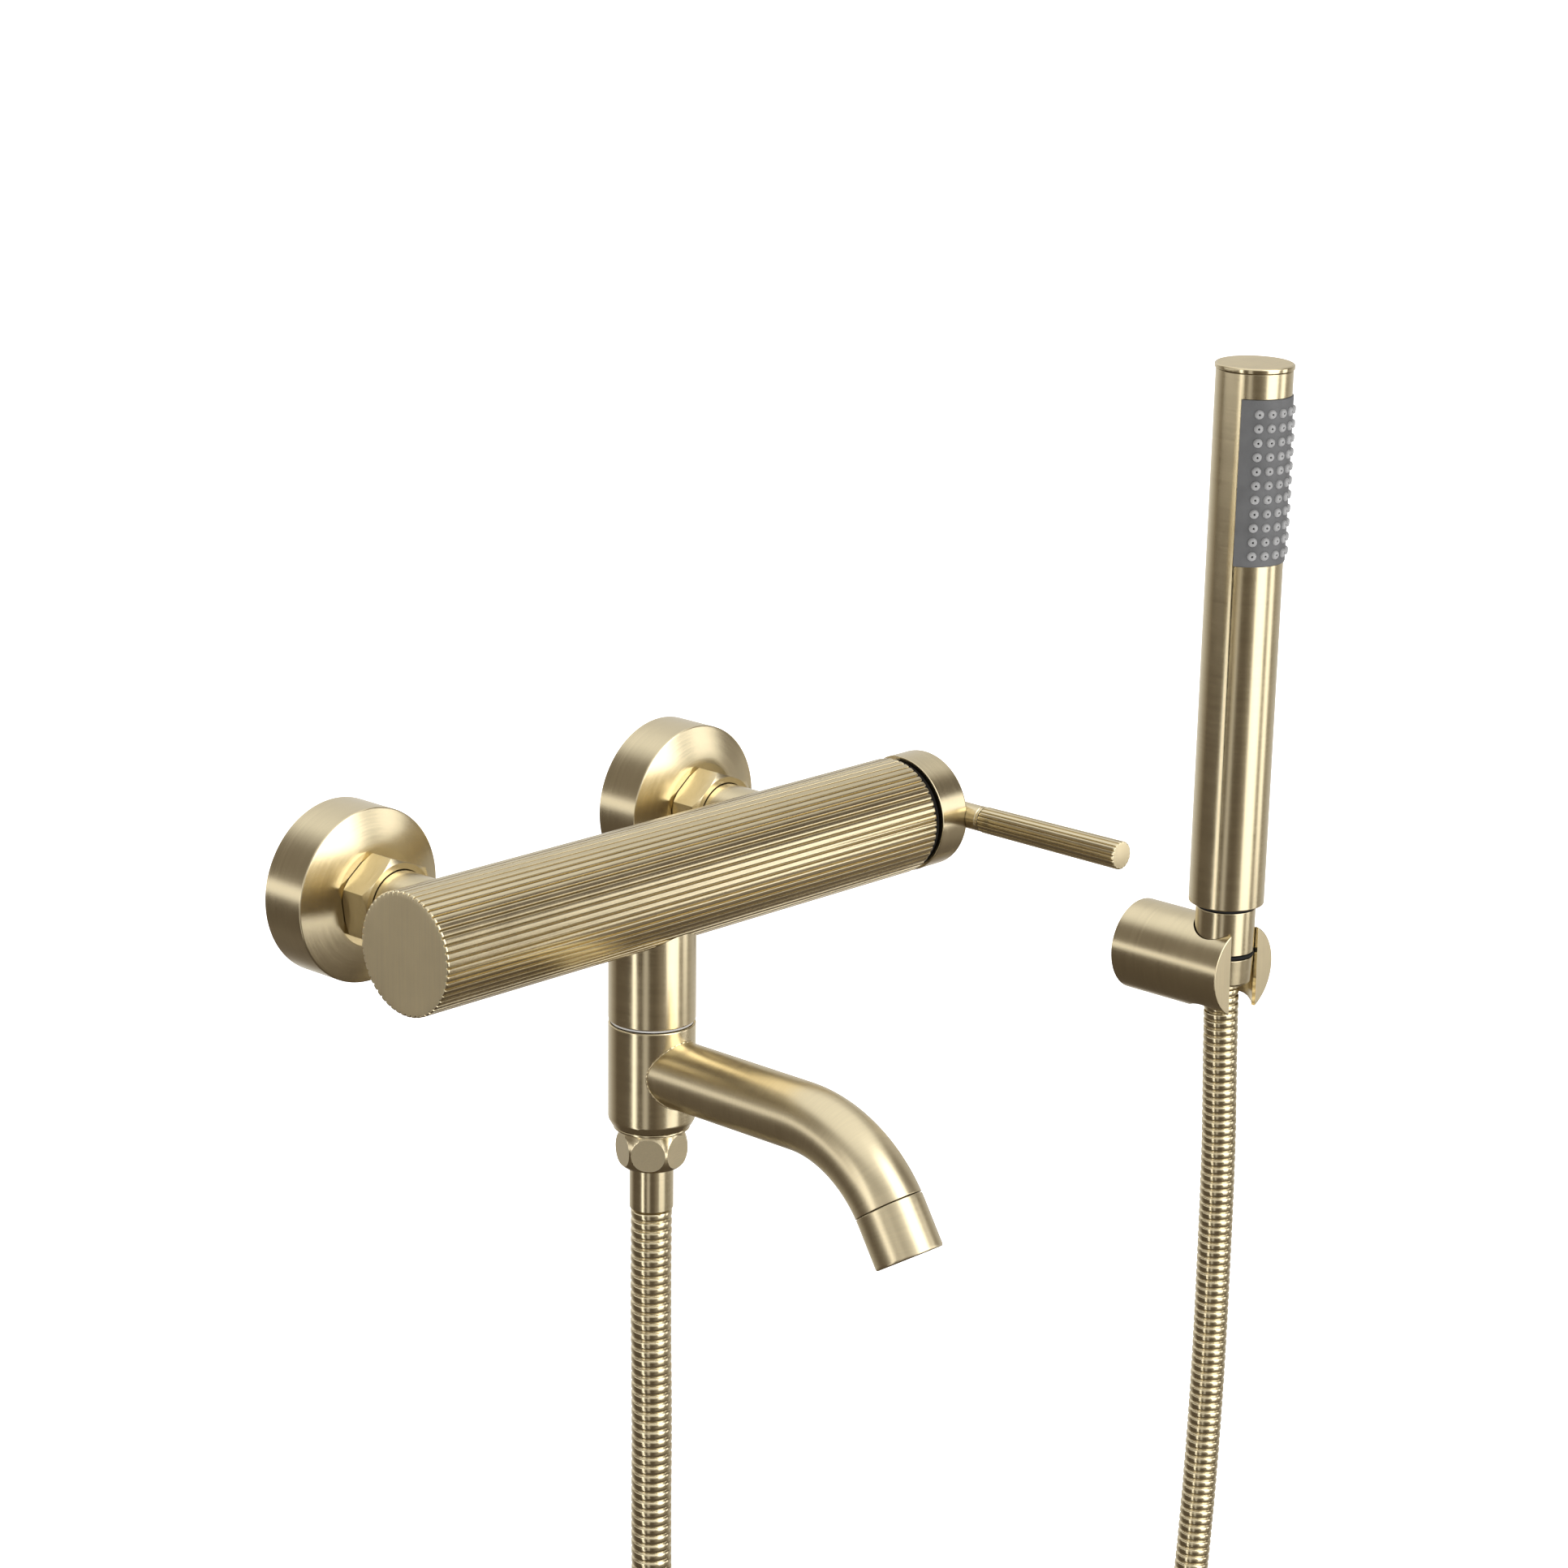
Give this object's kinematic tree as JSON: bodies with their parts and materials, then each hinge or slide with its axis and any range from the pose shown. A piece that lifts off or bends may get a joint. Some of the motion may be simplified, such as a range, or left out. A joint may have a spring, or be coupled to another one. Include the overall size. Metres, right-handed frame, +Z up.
{
  "type": "wall mounted bath faucet",
  "caption": "Wall mounted single lever bath mixer in brushed gold brass with a reeded body, swivel spout, corrugated hose and slim hand shower on a wall holder.",
  "frame": {"origin": "finished wall surface, midway between the two inlets at inlet height", "axes": "+X along the body towards its lever end, +Y into the wall, +Z up; the user stands at -Y"},
  "size_m": [0.4773, 0.215, 0.8062],
  "materials": {
    "gold": "brushed champagne gold",
    "raw_brass": "machined",
    "hose_metal": "satin interlocked metal hose",
    "steel": "plain",
    "black_plastic": "matte",
    "white_plastic": "matte",
    "ceramic": "polished alumina ceramic",
    "black_rubber": "matte",
    "grey_rubber": "satin silicone"
  },
  "bodies": {
    "fixed": {"wall_flange_left": "gold", "s_union_left": "raw_brass", "filter_washer_left": "black_rubber", "union_nut_left": "gold", "inlet_tube_left": "gold", "wall_flange_right": "gold", "s_union_right": "raw_brass", "filter_washer_right": "black_rubber", "union_nut_right": "gold", "inlet_tube_right": "gold", "body": "gold", "port_gasket": "black_rubber", "cartridge_base": "white_plastic", "fixed_disc": "ceramic", "cartridge_housing": "white_plastic", "retaining_nut": "raw_brass", "shroud": "black_plastic", "outlet_stub": "gold", "diverter_core": "raw_brass", "core_oring_upper": "black_rubber", "core_oring_lower": "black_rubber", "slide_washer": "white_plastic", "hose_ferrule_mixer": "gold", "hose": "hose_metal", "holder_body": "gold", "holder_bracket": "raw_brass", "holder_screw": "steel", "holder_grub_screw": "steel"},
    "cartridge_turret": {"turret": "white_plastic", "pivot_pin": "steel"},
    "lever": {"cap": "gold", "set_screw": "steel", "lever_neck": "gold", "lever_grip": "gold", "stem": "steel"},
    "ceramic_disc": {"moving_disc": "ceramic"},
    "spout": {"spout_body": "gold", "spout_grub_screw": "steel", "spout_tube": "gold", "aerator_housing": "gold", "aerator_washer": "black_rubber", "aerator_insert": "white_plastic", "outlet_nipple": "gold", "check_valve_body": "white_plastic", "check_valve_spring": "steel", "hose_nut": "gold", "hose_washer": "black_rubber"},
    "valve_poppet": {"check_valve_poppet": "black_plastic"},
    "hose_end": {"hose_ferrule_handset": "gold", "handset_hose_washer": "black_rubber"},
    "handset": {"cone_nut": "gold", "cone_oring": "black_rubber", "handset_connector": "raw_brass", "handset_oring": "black_rubber", "handset_tube": "gold", "spray_duct": "white_plastic", "nozzle_panel": "grey_rubber", "handset_cap": "gold"}
  },
  "joints": [
    {"name": "temperature", "type": "hinge", "parent": "fixed", "child": "cartridge_turret", "pos_m": [0.108, -0.0727, 0], "axis": [1, 0, 0], "range_deg": [-50, 50]},
    {"name": "flow", "type": "hinge", "parent": "cartridge_turret", "child": "lever", "pos_m": [0.108, -0.0727, 0], "axis": [0, 0, 1], "range_deg": [0, 16]},
    {"name": "disc_slide", "type": "slide", "parent": "cartridge_turret", "child": "ceramic_disc", "axis": [0, -1, 0], "range_m": [0, 0.0036]},
    {"name": "spout_swivel", "type": "hinge", "parent": "fixed", "child": "spout", "pos_m": [0, -0.0727, -0.065], "axis": [0, 0, 1], "range_deg": [-80, 80]},
    {"name": "check_valve", "type": "slide", "parent": "spout", "child": "valve_poppet", "axis": [0, 0, -1], "range_m": [0, 0.002], "stiffness_N_per_m": 60, "springref_m": -0.002, "deforming": ["check_valve_spring"]},
    {"name": "handset_lift", "type": "slide", "parent": "fixed", "child": "hose_end", "axis": [0, -0.0147, 0.9999], "range_m": [0, 0.065]},
    {"name": "handset_turn", "type": "hinge", "parent": "hose_end", "child": "handset", "pos_m": [0.35024, -0.0424, -0.11492], "axis": [0, -0.0147, 0.9999], "range_deg": [-180, 180]}
  ],
  "couplings": [
    {"joint": "disc_slide", "follows": "flow", "m_per_rad": 0.0124}
  ]
}
